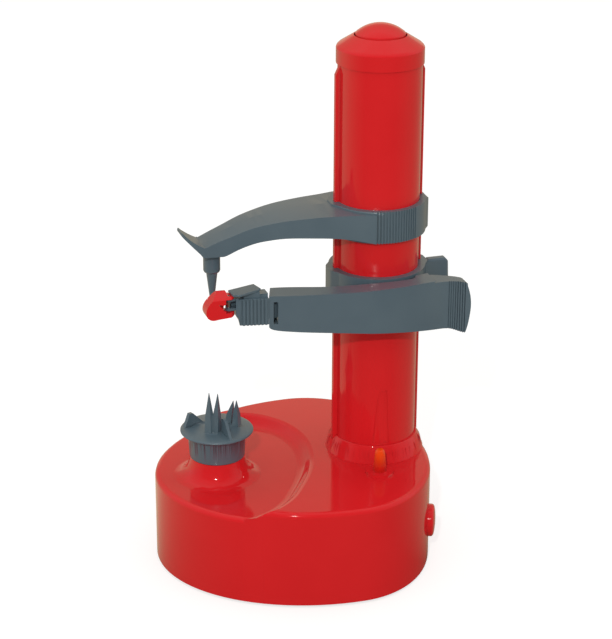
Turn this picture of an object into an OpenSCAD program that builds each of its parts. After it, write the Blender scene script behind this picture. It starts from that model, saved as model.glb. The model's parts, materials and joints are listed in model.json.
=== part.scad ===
// Electric potato peeler, drawn at real size in millimetres.
// Origin: on the floor, under the middle of the overall box.
// +X runs from the food holder to the column, +Y to the back, +Z up.

/* [Base] */
// Length of the base along X
base_length = 156; // [155:0.5:158]
// Width of the base along Y
base_width = 155; // [154:0.5:158]
// Height of the column side deck above the floor
deck_z = 57.5; // [57:0.5:59]
// Height of the low dish around the food holder
dish_z = 52; // [51.5:0.5:53]
// Thickness of the base side wall
wall = 2.2; // [2:0.1:2.5]
// Radius of the low dish
dish_r = 68; // [66:1:70]

/* [Column] */
// Distance from the column axis to the back end of the base
tail_margin = 28; // [28:0.5:28.5]
// Outer radius of the column tube
column_r = 23; // [22.8:0.1:23.2]
// Wall thickness of the column tube
column_wall = 2.4; // [2.2:0.1:2.6]
// Height of the underside of the cap skirt
cap_z = 284; // [283.5:0.5:290]

/* [Food holder] */
// Radius of the food holder disc
holder_r = 20.5; // [19.5:0.5:21]
// Height of the top of the food holder disc
holder_z = 80.4; // [80:0.2:81]
// Height of the tallest spike above the disc
spike_h = 24.6; // [22:0.2:26]

/* [Upper arm] */
// Height of the underside of the upper arm collar
arm_z = 189.5; // [189.5:0.5:192]
// Height of the upper arm collar
collar_h = 18; // [17:0.5:18.5]
// Length of the point of the top pin below its shoulder
point_l = 15.8; // [14:0.2:16.4]

/* [Blade arm] */
// Height of the underside of the carriage ring
ring_z = 143; // [142.5:0.5:143.5]
// Height of the carriage ring
ring_h = 26; // [25:0.5:26]
// Height of the top edge of the blade arm
blade_top = 168.3; // [168:0.1:168.6]

/* [Gears] */
// Teeth of the food holder gear
holder_teeth = 56; // [56:1:57]
// Width of the gear teeth along the axle
gear_w = 5.6; // [5:0.1:5.7]

/* [Hidden] */
$fn = 64;
tail_a = 59 + (base_length - 156) / 2;
nose_a = base_length - tail_a;
half_w = base_width / 2;
axis_gap = base_length - 34.5 - tail_margin;
span = axis_gap / 93.5;
total_l = 34.5 + axis_gap + 42.8;
nose_x = -total_l / 2;
hold_x = nose_x + 34.5;
col_x = hold_x + axis_gap;
join_x = nose_x + nose_a;
deck_t = 2.5;
rim = 3;
bore_r = column_r + 0.08;
rail_r = column_r + 2.4;
foot_r = 28;
foot_h = 10;
dish_x = hold_x - 6.5;
hub_z = 64;
pivot_x = col_x + 20;
pivot_y = -27;
stop_x = col_x - 9.2;
stop_y = -36.5;
idler_teeth = 45;
screw_teeth = 44;
big_teeth = 48;
small_teeth = 12;
plate_z = 23;
cover_z = 43;
level_a = 27;
level_b = 35;
d1 = span * (holder_teeth + idler_teeth) / 2;
d2 = span * (idler_teeth + screw_teeth) / 2;
idler_u = (axis_gap * axis_gap + d1 * d1 - d2 * d2) / (2 * axis_gap);
idler_y = sqrt(d1 * d1 - idler_u * idler_u);
idler_x = hold_x + idler_u;
red_d = span * (idler_teeth + small_teeth) / 2;
red_x = idler_x + red_d * cos(100);
red_y = idler_y + red_d * sin(100);
motor_x = red_x + span * (big_teeth + small_teeth) / 2;
motor_y = red_y;
tray_x = hold_x + 13.5;
button_t = -29.4;
button_z = 24;
top_x = hold_x - 1.5;
head_y = -28.9;
red = [0.78, 0.12, 0.13];
grey = [0.33, 0.39, 0.43];
dark = [0.16, 0.17, 0.18];
steel = [0.75, 0.77, 0.79];
white = [0.86, 0.86, 0.84];

// A point on a half ellipse, moved inwards by d.
function ell(a, t, d) = let (n = norm([half_w * cos(t), a * sin(t)]))
    [join_x + a * cos(t) - d * half_w * cos(t) / n, half_w * sin(t) - d * a * sin(t) / n];
function egg_a(t) = cos(t) >= 0 ? tail_a : nose_a;
function egg_point(t, d) = ell(egg_a(t), t, d);
function egg_normal(t) = atan2(egg_a(t) * sin(t), half_w * cos(t));

// Smooth curve through open points, with n steps between two of them.
function bend(a, b, c, d, t) = 0.5 * (2 * b + (c - a) * t + (2 * a - 5 * b + 4 * c - d) * t * t
    + (3 * b - a - 3 * c + d) * t * t * t);
function curve(p, n) = let (m = len(p) - 1) concat([for (i = [0:m - 1], j = [0:n - 1])
    bend(p[max(i - 1, 0)], p[i], p[i + 1], p[min(i + 2, m)], j / n)], [p[m]]);

// Involute gear helpers, 20 degree pressure angle. The module is 1 at the drawn base length.
function inv(a) = tan(a) * 180 / PI - a;
function half_tooth(n, r) = let (rb = n / 2 * cos(20), q = max(r, rb))
    (PI / 4 - 0.09) / (n / 2) * 180 / PI + inv(20) - inv(acos(rb / q));
function flank(n, s) = let (lo = n / 2 - 1.2, hi = n / 2 + 0.85)
    [for (i = [0:4]) let (k = s > 0 ? 4 - i : i, r = lo + (hi - lo) * k / 4)
        [r, s * half_tooth(n, r)]];
function gear_points(n) = [for (k = [0:n - 1]) for (p = concat(flank(n, -1), flank(n, 1)))
    let (a = p[1] + k * 360 / n) [span * p[0] * cos(a), span * p[0] * sin(a)]];
// Phase of the second gear when a first gear with n1 teeth meets it along direction a.
function mesh(p1, n1, a, n2) = a + 180 - 360 / n2 * (0.5 - (a - p1) * n1 / 360);
dir_hi = atan2(idler_y, idler_u);
dir_is = atan2(-idler_y, col_x - idler_x);
idler_phase = mesh(0, holder_teeth, dir_hi, idler_teeth);
screw_phase = mesh(idler_phase, idler_teeth, dir_is, screw_teeth);
small_phase = mesh(idler_phase, idler_teeth, 100, small_teeth);
motor_phase = mesh(0, big_teeth, 0, small_teeth);

module egg(d) {
    polygon([for (i = [0:95]) egg_point(i * 3.75, d)]);
}

module gear(n, phase, w) {
    rotate(phase) linear_extrude(w) polygon(gear_points(n));
}

// A tube standing on z with outer radius a and inner radius b.
module tube(z, h, a, b) {
    translate([0, 0, z]) difference() {
        cylinder(h = h, r = a);
        translate([0, 0, -1]) cylinder(h = h + 2, r = b);
    }
}

// A plate with the rounded rim of the base, from z0 up to z1.
module egg_block(z0, z1) {
    translate([0, 0, z0]) linear_extrude(z1 - rim - z0) egg(0);
    hull() {
        translate([0, 0, z1 - rim]) linear_extrude(0.01) egg(0);
        translate([0, 0, z1 - 1.5]) linear_extrude(0.01) egg(0.4);
        translate([0, 0, z1 - 0.4]) linear_extrude(0.01) egg(1.5);
        translate([0, 0, z1 - 0.01]) linear_extrude(0.01) egg(3);
    }
}

module at_button() {
    p = egg_point(button_t, 0);
    translate([p[0], p[1], button_z]) rotate([0, 0, egg_normal(button_t)]) rotate([0, 90, 0])
        children();
}

module at_bosses() {
    for (t = [60, 145, 215, 300]) {
        p = egg_point(t, 9);
        translate([p[0], p[1], 0]) children();
    }
}

module at_feet() {
    for (t = [35, 130, 230, 325]) {
        p = egg_point(t, 12);
        translate([p[0], p[1], 0]) children();
    }
}

module at_pillars() {
    for (p = [[col_x - 22, -24], [col_x - 26, 60], [hold_x + 13.5, 33.5], [hold_x + 13.5, -33.5]])
        translate([p[0], p[1], 0]) children();
}

// Oval base housing with deck, low dish, hub and stop pin ring, one moulding.
module base_shell() color(red) {
    difference() {
        union() {
            egg_block(1.5, dish_z);
            difference() {
                egg_block(dish_z - 6, deck_z);
                translate([dish_x, 0, dish_z - 8]) cylinder(h = 8, r = dish_r - 9);
                translate([dish_x, 0, dish_z]) rotate_extrude($fn = 128) dish_profile();
            }
            translate([hold_x, 0, dish_z]) rotate_extrude() polygon([[0, -0.5], [25, -0.5], [25, 0],
                [22, 0.7], [19.8, 2], [18, 4], [16.8, 6.4], [15.9, 9], [15.2, 12], [0, 12]]);
            translate([col_x, 0, deck_z - 6]) cylinder(h = 6, r = foot_r, $fn = 128);
            translate([stop_x, stop_y, deck_z - 1]) cylinder(h = 2.5, r = 7.75);
        }
        difference() {
            translate([0, 0, 1]) linear_extrude(dish_z - deck_t - 1) egg(wall);
            at_bosses() translate([0, 0, 6.05]) cylinder(h = deck_z, r = 4);
            translate([hold_x, 0, 46.4]) cylinder(h = 20, r = 7.4);
            at_button() translate([0, 0, -3.9]) cylinder(h = 6, r = 12.5);
        }
        difference() {
            translate([0, 0, 40]) linear_extrude(deck_z - deck_t - 40) egg(wall);
            translate([dish_x, 0, 30]) cylinder(h = 40, r = dish_r + 2.2);
            at_bosses() translate([0, 0, 30]) cylinder(h = deck_z, r = 4);
        }
        translate([hold_x, 0, 40]) difference() {
            cylinder(h = 20.4, r = 13);
            translate([0, 0, -1]) cylinder(h = 30, r = 8);
        }
        translate([hold_x, 0, 40]) cylinder(h = 30, r = 5.03);
        translate([hold_x, 0, 60.5]) cylinder(h = 5, r = 8);
        at_bosses() translate([0, 0, 5]) cylinder(h = 20, r = 1.5);
        at_button() translate([0, 0, -10]) cylinder(h = 20, r = 9.7);
        translate([col_x, 0, deck_z - 10]) cylinder(h = 15, r = column_r + 0.3);
        translate([stop_x, stop_y, deck_z - 5]) cylinder(h = 12, r = 3.77);
    }
}

// Half of the space above the low dish, with its soft step up to the deck.
module dish_profile() {
    r = dish_r;
    h = deck_z - dish_z;
    polygon(concat([[0, 20], [0, 0]], curve([[r - 9, 0], [r - 6.5, 0.07 * h], [r - 4.5, 0.28 * h],
        [r - 2.6, 0.6 * h], [r - 1, 0.88 * h], [r + 0.6, 0.985 * h], [r + 2, h + 0.05]], 3),
        [[r + 2, 20]]));
}

// Floor of the base with the battery tray, pillars and switch post.
module bottom_plate() color(dark) {
    difference() {
        union() {
            translate([0, 0, 3.5]) linear_extrude(2.5) egg(wall + 0.15);
            translate([tray_x - 31.3, -30.1, 5]) cube([62.6, 60.2, 17]);
            at_pillars() translate([0, 0, 5]) cylinder(h = plate_z - 5, r = 2.8);
            translate([motor_x, motor_y, 5]) cylinder(h = 4, r = 14);
            switch_post();
        }
        translate([tray_x - 29.7, -28.5, 5.5]) cube([59.4, 57, 15]);
        translate([tray_x - 29.7, -26, 3]) cube([59.4, 52, 5]);
        translate([tray_x - 30.9, -26.9, 3]) cube([61.8, 53.8, 2.5]);
        translate([motor_x, motor_y, 6.5]) cylinder(h = 4, r = 12.1);
        at_feet() translate([0, 0, 3]) cylinder(h = 4, r = 2.45);
        at_bosses() translate([0, 0, 3]) cylinder(h = 4, r = 1.6);
        at_bosses() translate([0, 0, 3]) cylinder(h = 1.7, r = 3.2);
        at_pillars() translate([0, 0, 12]) cylinder(h = 20, r = 1.3);
    }
}

// Block that carries the power switch.
module switch_post() {
    p = egg_point(button_t, 17);
    translate([p[0], p[1], 5]) rotate([0, 0, egg_normal(button_t)]) translate([-4.5, -5, 0])
        cube([9, 10, 13]);
}

module battery_door() color(dark) {
    difference() {
        translate([tray_x - 30.7, -26.7, 3.5]) cube([61.4, 53.4, 2]);
        for (i = [-2:2]) translate([tray_x - 10, i * 3 - 0.6, 3]) cube([20, 1.2, 0.9]);
    }
}

module battery_cells() {
    for (i = [0:3]) {
        s = i % 2 == 0 ? 1 : -1;
        translate([tray_x - 21.9 + i * 14.6, 0, 12.95]) rotate([-90 * s, 0, 0]) {
            color(dark) translate([0, 0, -25.2]) cylinder(h = 37, r = 7.2);
            color([0.72, 0.45, 0.2]) translate([0, 0, 11.8]) cylinder(h = 12.2, r = 7.2);
            color(steel) translate([0, 0, 24]) cylinder(h = 1.2, r = 2.7);
        }
    }
}

module battery_contacts() color(steel) {
    for (i = [0:3], s = [-1, 1])
        translate([tray_x - 21.9 + i * 14.6, s * 28.2, 12.95]) {
            translate([-5.5, -0.2, -5]) cube([11, 0.4, 10]);
            rotate([90 * s, 0, 0]) cylinder(h = 2.7, r1 = 4, r2 = 2.4);
        }
}

module rubber_feet() color([0.1, 0.1, 0.1]) {
    at_feet() {
        cylinder(h = 0.6, r1 = 5.4, r2 = 6);
        translate([0, 0, 0.6]) cylinder(h = 2.9, r = 6);
        translate([0, 0, 3.5]) cylinder(h = 3, r = 2.4);
    }
}

module base_screws() color(steel) {
    at_bosses() difference() {
        union() {
            translate([0, 0, 3.6]) cylinder(h = 1.1, r = 3);
            translate([0, 0, 4.7]) cylinder(h = 14, r = 1.45);
        }
        translate([-0.4, -2, 3]) cube([0.8, 4, 1.2]);
        translate([-2, -0.4, 3]) cube([4, 0.8, 1.2]);
    }
}

// Round push button on the side wall, pressed towards the inside.
module power_button() color(red) {
    at_button() {
        rotate_extrude() polygon([[0, -4.9], [11, -4.9], [11, -3.92], [9.3, -3.92], [9.3, 1.6],
            [9.15, 2.1], [8.7, 2.6], [8, 3], [6, 3.4], [3, 3.7], [0, 3.8]]);
        translate([0, 0, -10]) cylinder(h = 5.2, r = 3);
    }
}

module button_spring() color(steel) {
    at_button() translate([0, 0, -10]) coil(4.4, 0.4, 5.1, 3);
}

// Wire coil of mean radius r, wire radius w, length h and n turns, made of tilted half rings.
module coil(r, w, h, n) {
    p = (h - 2.4 * w) / n;
    a = asin(p / 4 / r);
    for (k = [0:2 * n - 1]) translate([0, 0, 1.2 * w + p / 4 + k * p / 2])
        rotate([0, k % 2 == 0 ? a : -a, 0]) rotate([0, 0, k * 180])
            rotate_extrude(angle = 180, $fn = 32) translate([r, 0]) circle(r = w, $fn = 16);
    for (k = [0:2 * n]) translate([(k % 2 == 0 ? r : -r) * cos(a), 0, 1.2 * w + k * p / 2])
        sphere(r = w * 1.2, $fn = 24);
}

module power_switch() color(dark) {
    p = egg_point(button_t, 17);
    translate([p[0], p[1], 18]) rotate([0, 0, egg_normal(button_t)]) {
        translate([-4.8, -6, 0]) cube([9.6, 12, 8.4]);
        for (y = [-3.6, 0, 3.6]) translate([-7.6, y - 0.5, 3]) cube([3, 1, 0.5]);
    }
}

// Clear red pin that the blade arm presses at the bottom of its travel.
module stop_pin() color([0.85, 0.25, 0.12, 0.8]) {
    translate([stop_x, stop_y, 0]) {
        translate([0, 0, 53]) cylinder(h = deck_z - deck_t - 53.02, r = 6.2);
        translate([0, 0, 54]) rotate_extrude() polygon([[0, 0], [3.7, 0], [3.7, 8.3], [3.5, 9.2],
            [2.95, 15], [2.75, 16.4], [2.4, 17.3], [1.8, 17.9], [1, 18.1], [0, 18.1]]);
        translate([0, 0, 50.6]) cylinder(h = 3, r = 1.5);
    }
}

module stop_spring() color(steel) {
    translate([stop_x, stop_y, 45.4]) coil(5, 0.4, 7.2, 4);
    translate([stop_x, stop_y, 0]) tube(45, 0.7, 5.5, 4.5);
    translate([stop_x, stop_y, 0]) tube(52.3, 0.68, 5.5, 4.5);
}

module limit_switch() color(dark) {
    translate([stop_x - 2.9, stop_y - 2.9, 45]) cube([5.8, 5.8, 1.6]);
    translate([stop_x, stop_y, 46.6]) cylinder(h = 0.6, r = 1.6);
}

module motor() color(steel) {
    translate([motor_x, motor_y, 0]) difference() {
        union() {
            translate([0, 0, 6.5]) cylinder(h = 26.5, r = 12);
            translate([0, 0, 33]) cylinder(h = 1.2, r = 3);
        }
        translate([0, 0, 26]) cylinder(h = 12, r = 1.16);
        for (s = [-1, 1]) translate([s * 8, 0, 30]) cylinder(h = 6, r = 1.1);
    }
}

module motor_shaft() color(steel) {
    translate([motor_x, motor_y, 26.2]) cylinder(h = 14.4, r = 1.1);
}

module motor_pinion() color([0.8, 0.65, 0.35]) {
    translate([motor_x, motor_y, level_b]) difference() {
        gear(small_teeth, motor_phase, 5.4);
        translate([0, 0, -1]) cylinder(h = 8, r = 1.12);
    }
}

module motor_bracket() color(steel) {
    translate([motor_x, motor_y, 0]) difference() {
        union() {
            translate([-11, -11, 33]) cube([22, 25, 1.4]);
            for (x = [-11, 7]) translate([x, 11, 25]) cube([4, 3, 8.2]);
        }
        translate([0, 0, 32]) cylinder(h = 4, r = 3.1);
        for (s = [-1, 1]) translate([s * 8, 0, 32]) cylinder(h = 4, r = 1.4);
    }
}

module gearbox_outline(cut) {
    p = egg_point(button_t, 17);
    difference() {
        intersection() {
            egg(wall + 1.5);
            translate([hold_x - 13.5, -46]) square([col_x + 36 - hold_x + 13.5, 108]);
        }
        at_bosses() circle(r = 5.2);
        if (cut) translate([p[0] - 14.8, -80]) square([60, 80 + p[1] + 9.3]);
    }
}

module gearbox_plate() color(white) {
    difference() {
        translate([0, 0, plate_z]) linear_extrude(2) gearbox_outline(true);
        translate([motor_x, motor_y, 20]) cylinder(h = 10, r = 12.3);
        translate([hold_x, 0, 20]) cylinder(h = 10, r = 5.03);
        translate([col_x, 0, 20]) cylinder(h = 10, r = 5.03);
        translate([idler_x, idler_y, 20]) cylinder(h = 10, r = 2.03);
        translate([red_x, red_y, 20]) cylinder(h = 10, r = 2.03);
        at_pillars() translate([0, 0, 20]) cylinder(h = 10, r = 1.5);
    }
}

module gearbox_cover() color(white) {
    difference() {
        union() {
            translate([0, 0, cover_z]) linear_extrude(2) gearbox_outline(false);
            at_pillars() translate([0, 0, 25]) cylinder(h = 19, r = 3);
            translate([hold_x + 28.5, -24, 25]) cylinder(h = 19, r = 3);
            translate([hold_x + 15.5, 55, 25]) cylinder(h = 19, r = 3);
        }
        translate([hold_x, 0, 40]) cylinder(h = 10, r = 3.6);
        translate([col_x, 0, 40]) cylinder(h = 10, r = 5.03);
        translate([idler_x, idler_y, 40]) cylinder(h = 10, r = 2.03);
        translate([red_x, red_y, 40]) cylinder(h = 10, r = 2.03);
        at_pillars() translate([0, 0, 20]) cylinder(h = 30, r = 1.5);
        for (s = [-1, 1]) translate([col_x, s * 17.2, 40]) cylinder(h = 10, r = 1.5);
    }
}

module gearbox_screws() color(steel) {
    at_pillars() {
        translate([0, 0, 45]) cylinder(h = 1.6, r = 2.8);
        translate([0, 0, 13]) cylinder(h = 32, r = 1.25);
    }
}

module reduction_gear() color(white) {
    translate([red_x, red_y, 0]) difference() {
        union() {
            translate([0, 0, level_a - 0.2]) gear(small_teeth, small_phase, 7.6);
            translate([0, 0, 34.2]) cylinder(h = 1, r = 4.6);
            translate([0, 0, level_b]) gear(big_teeth, 0, 5.2);
            translate([0, 0, 25.2]) cylinder(h = 17.6, r = 4);
        }
        translate([0, 0, 20]) cylinder(h = 30, r = 2.05);
    }
}

module idler_gear() color(white) {
    translate([idler_x, idler_y, 0]) difference() {
        union() {
            translate([0, 0, level_a]) gear(idler_teeth, idler_phase, gear_w);
            translate([0, 0, 25.2]) cylinder(h = 17.6, r = 3.2);
            translate([0, 0, 25.2]) cylinder(h = 2, r = 6);
        }
        translate([0, 0, 20]) cylinder(h = 30, r = 2.05);
    }
}

module gear_axles() color(steel) {
    translate([idler_x, idler_y, plate_z]) cylinder(h = 22, r = 2);
    translate([red_x, red_y, plate_z]) cylinder(h = 22, r = 2);
}

module holder_gear() color(white) {
    translate([hold_x, 0, 0]) difference() {
        union() {
            translate([0, 0, level_a]) gear(holder_teeth, 0, gear_w);
            translate([0, 0, 25.3]) cylinder(h = 17, r = 6);
        }
        translate([0, 0, 20]) cylinder(h = 30, r = 3.02);
    }
}

// Vertical spindle that turns the food holder.
module holder_spindle() color(steel) {
    translate([hold_x, 0, 0]) {
        translate([0, 0, plate_z]) cylinder(h = holder_z - 2.6 - plate_z, r = 3);
        tube(42.3, 0.5, 4.2, 2.9);
    }
}

module spindle_bush() color([0.72, 0.55, 0.25]) {
    translate([hold_x, 0, 0]) {
        tube(46.4, 13.8, 5, 3.06);
        tube(45.2, 1.2, 7, 3.06);
    }
}

module spindle_seal() color([0.1, 0.1, 0.1]) {
    translate([hold_x, 0, 0]) tube(60.5, 3.2, 7.95, 3.08);
}

module spike(x, y, h, lx, ly, s) {
    hull() {
        translate([x, y, holder_z - 1.4]) rotate(45) translate([-s, -s, 0])
            cube([2 * s, 2 * s, 0.2]);
        translate([x + lx * 0.4, y + ly * 0.4, holder_z + h * 0.45]) rotate(45)
            translate([-0.8 * s, -0.8 * s, 0]) cube([1.6 * s, 1.6 * s, 0.2]);
        translate([x + lx, y + ly, holder_z + h - 0.2]) rotate(45) translate([-0.12, -0.12, 0])
            cube([0.24, 0.24, 0.2]);
    }
}

// Dished disc on a cup, with four spikes and two low fins, one moulding.
module food_holder() color(grey) {
    r = holder_r;
    translate([hold_x, 0, holder_z]) rotate_extrude($fn = 96) polygon([[3.02, -14.4], [5.5, -14.4],
        [5.5, -3.4], [13.8, -3.4], [13.4, -16], [15.5, -16], [16.3, -1.8], [r - 0.3, -1.4],
        [r, -1.1], [r, -0.7], [r - 0.3, -0.3], [r - 1, 0], [r - 3, 0.4], [12, 0.9],
        [6, 1.2], [0, 1.3], [0, -2.4], [3.02, -2.4]]);
    translate([hold_x, 0, 0]) {
        spike(-5.8, -6.2, spike_h, 0, 0, 2.1);
        spike(-1.9, -6.5, spike_h - 1, 1, 0, 2.1);
        spike(8.1, 3.5, spike_h - 11, 2.6, 0, 2.1);
        spike(11.1, -1.7, spike_h - 8.7, 0, 0, 2);
        rotate([0, 0, -80.4]) translate([0, 0.8, holder_z]) rotate([90, 0, 0]) linear_extrude(1.6)
            polygon([[8, -1.4], [19.2, -1.4], [19.2, 0], [12.6, 9], [9.6, 9.6], [8, 8.8]]);
        translate([-18, 4.7, holder_z]) rotate([0, 0, 23.8]) translate([0, 1.1, 0])
            rotate([90, 0, 0]) linear_extrude(2.2)
                polygon([[0.6, -1.4], [13.4, -1.4], [13, 0.8], [6, 7.8], [3.8, 7.9], [0.6, 0.8]]);
    }
}

module screw_gear() color(white) {
    translate([col_x, 0, 0]) difference() {
        union() {
            translate([0, 0, level_a]) gear(screw_teeth, screw_phase, gear_w);
            translate([0, 0, 25.4]) cylinder(h = 17.2, r = 6);
        }
        translate([0, 0, 20]) cylinder(h = 30, r = 3.02);
    }
}

// Long screw inside the column. The thread is drawn as closed rings.
module lead_screw() color(steel) {
    turn = [[3.2, 0], [4, 1], [4, 2.2], [3.2, 3.2]];
    translate([col_x, 0, 0]) {
        translate([0, 0, plate_z]) cylinder(h = cap_z + 4 - plate_z, r = 3);
        translate([0, 0, 46]) rotate_extrude($fn = 32) polygon(concat([[0, 0]],
            [for (i = [0:37]) for (q = turn) [q[0], i * 6 + q[1]]], [[3.2, 230], [0, 230]]));
    }
}

module shaft_bushes() color([0.72, 0.55, 0.25]) {
    translate([hold_x, 0, 0]) tube(plate_z, 2.1, 5, 3.06);
    translate([col_x, 0, 0]) tube(plate_z, 2.1, 5, 3.06);
    translate([col_x, 0, 0]) tube(cover_z, 2.6, 5, 3.06);
}

module screw_top_bearing() color(white) {
    translate([col_x, 0, 0]) tube(cap_z, 4, column_r - column_wall - 0.05, 3.06);
}

// Column tube with its side rails and foot flare, before it is split.
module column_body() {
    z0 = deck_z + foot_h;
    difference() {
        union() {
            translate([0, 0, 45]) cylinder(h = cap_z + 6 - 45, r = column_r, $fn = 128);
            for (s = [0, 180]) rotate([0, 0, s]) translate([0, 1.4, 0]) rotate([90, 0, 0])
                linear_extrude(2.8) polygon([[column_r - 1, deck_z + 0.1], [rail_r, deck_z + 0.1],
                    [rail_r, cap_z - 5.4], [column_r - 0.1, cap_z - 0.2],
                    [column_r - 1, cap_z - 0.2]]);
        }
        difference() {
            translate([0, 0, 40]) cylinder(h = cap_z + 20 - 40, r = column_r - column_wall);
            for (s = [-1, 1]) translate([0, s * 17.2, 45]) cylinder(h = 15, r = 3.6);
            tube(cap_z - 4, 4, column_r, column_r - column_wall - 2);
        }
        for (s = [-1, 1]) translate([0, s * 17.2, 44]) cylinder(h = 13, r = 1.3);
        intersection() {
            tube(z0 + 1, 45, column_r + 1, column_r - 0.45);
            translate([0, -10, 0]) rotate([90, 0, 0]) linear_extrude(20)
                polygon([[-8.4, z0 + 1], [-7.1, z0 + 17], [-6.3, z0 + 27], [-5, z0 + 33],
                    [-0.7, z0 + 33.5], [0.6, z0 + 1]]);
        }
        translate([-3, 10, 70]) cube([6, 20, cap_z - 6 - 70]);
    }
}

module column_front() color(red) {
    translate([col_x, 0, 0]) intersection() {
        column_body();
        translate([-40, -40, 0]) cube([80, 40, 320]);
    }
}

module column_back() color(red) {
    translate([col_x, 0, 0]) intersection() {
        column_body();
        translate([-40, 0, 0]) cube([80, 40, 320]);
    }
}

// Collar round the foot of the column, standing on the deck.
module column_foot() color(red) {
    translate([col_x, 0, deck_z]) difference() {
        rotate_extrude($fn = 128) polygon([[bore_r, 0], [foot_r, 0], [foot_r, 3], [foot_r - 0.5, 3.9],
            [column_r + 1.2, foot_h - 0.6], [column_r + 0.7, foot_h], [bore_r, foot_h]]);
        for (s = [0, 180]) rotate([0, 0, s]) translate([column_r - 2, -1.55, -1])
            cube([4.55, 3.1, foot_h + 2]);
    }
}

module column_screws() color(steel) {
    for (s = [-1, 1]) translate([col_x, s * 17.2, 0]) {
        translate([0, 0, cover_z - 1.6]) cylinder(h = 1.6, r = 2.8);
        translate([0, 0, cover_z]) cylinder(h = 13, r = 1.25);
    }
}

module column_cap() color(red) {
    r = column_r;
    translate([col_x, 0, cap_z]) rotate_extrude($fn = 128) polygon([[r + 0.2, 0], [r + 0.9, 0],
        [r + 0.9, 8.2], [r + 0.5, 9], [r - 0.4, 9.9], [15, 14.7], [14.4, 14.9], [14, 14.4],
        [14, 12.4], [0, 12.4], [0, 10.6], [17, 10.6], [r - 2.6, 8], [r - 2.6, 6],
        [r + 0.2, 6]]);
}

module cap_disc() color(red) {
    translate([col_x, 0, cap_z]) intersection() {
        translate([0, 0, 12.4]) cylinder(h = 10, r = 13.6, $fn = 96);
        translate([0, 0, 0.8]) sphere(r = 20.2, $fn = 128);
    }
}

// Side lugs of a sliding collar of radius r, seen from above.
module lug_plan(r) {
    for (s = [0, 180]) rotate(s) polygon([[0.49 * r, -0.87 * r], [0.66 * r, -0.75 * r],
        [r + 1.1, -5.3], [r + 1.7, -4], [r + 1.7, 4], [r + 1.1, 5.3], [0.66 * r, 0.75 * r],
        [0.49 * r, 0.87 * r]]);
}

// Ridge, lower edge, front edge and back edge of the bar, from the food holder axis.
bar_top = curve([[-8.5, 1.8], [-0.5, 5.4], [7.5, 8.7], [15.5, 11.8], [23.5, 13.9], [35.5, 15.9],
    [51.5, 17], [63.5, 17.4], [72, 18]], 4);
bar_low = curve([[-8.5, -3.7], [1, -3.7], [4, -3.1], [10, -0.1], [17, 2.4], [24, 4], [35.5, 5.1],
    [51.5, 4.3], [67.5, 3.1], [76, 1.7], [84, 0]], 4);
bar_half = curve([[-8.5, 9.6], [-0.5, 10.4], [7.5, 12.1], [19.5, 13.7], [31.5, 15.8], [43.5, 17.5],
    [59.5, 19.6], [71.5, 22.4], [80.5, 24.9], [88.5, 26.3]], 4);
bar_back = curve([[-8.5, 8.8], [-0.5, 8.9], [7.5, 9.3], [19.5, 11], [31.5, 13.6], [43.5, 16.2],
    [59.5, 18.6], [71.5, 19.6], [80.5, 21.5], [88.5, 23]], 4);
crown = 3.5;

function bar_x(u) = hold_x + u * span;
function flip(p) = [for (i = [len(p) - 1:-1:0]) p[i]];

// Bar seen from the side. With c its lid is c lower and it runs down past the lower edge.
module bar_side(c) {
    polygon(concat([for (p = bar_top) [bar_x(p[0]), arm_z + p[1] - c]],
        [[bar_x(88), arm_z + 18 - c]], c > 0 ? [[bar_x(88), arm_z - 30], [bar_x(-8.5), arm_z - 30]]
        : concat([[bar_x(88), arm_z]], [for (p = flip(bar_low)) [bar_x(p[0]), arm_z + p[1]]])));
}

// Bar seen from above, c smaller all round.
module bar_plan(c) {
    polygon(concat([for (p = bar_half) [bar_x(p[0]), c - p[1]]],
        [for (p = flip(bar_back)) [bar_x(p[0]), p[1] - c]]));
}

// Space under one slope of the bar's top, which falls from the ridge to the edge.
module bar_roof(s, c) {
    translate([0, 0, arm_z]) rotate([-s * crown, 0, 0]) translate([0, 60, 0]) rotate([90, 0, 0])
        linear_extrude(120) polygon(concat([for (p = bar_top)
            [bar_x(p[0]), (p[1] - c) * cos(crown)]], [[bar_x(88), (18 - c) * cos(crown)],
            [bar_x(88), -40], [bar_x(-8.5), -40]]));
}

// Turned-up lip at the end of the bar, seen from the side.
module lip_side() {
    polygon(concat(curve([[-8, 1.9], [-11.5, 3.9], [-14.7, 6.2], [-16.8, 8], [-18, 9.3],
        [-18.7, 9.9], [-19.4, 9.8], [-19.6, 9], [-18.3, 7.2], [-16.2, 5], [-12.6, 1.2],
        [-8.6, -3]], 3), [[-8, -3.6], [-7, -3.6], [-7, 1.9]]));
}

module lip_plan() {
    polygon(curve([[-6, 9.8], [-9, 9.6], [-13, 8.9], [-16, 7.6], [-18.5, 5.2], [-19.7, 2.8],
        [-20.2, 0], [-19.7, -2.8], [-18.5, -5.2], [-16, -7.6], [-13, -8.9], [-9, -9.6],
        [-6, -9.8]], 3));
}

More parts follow.
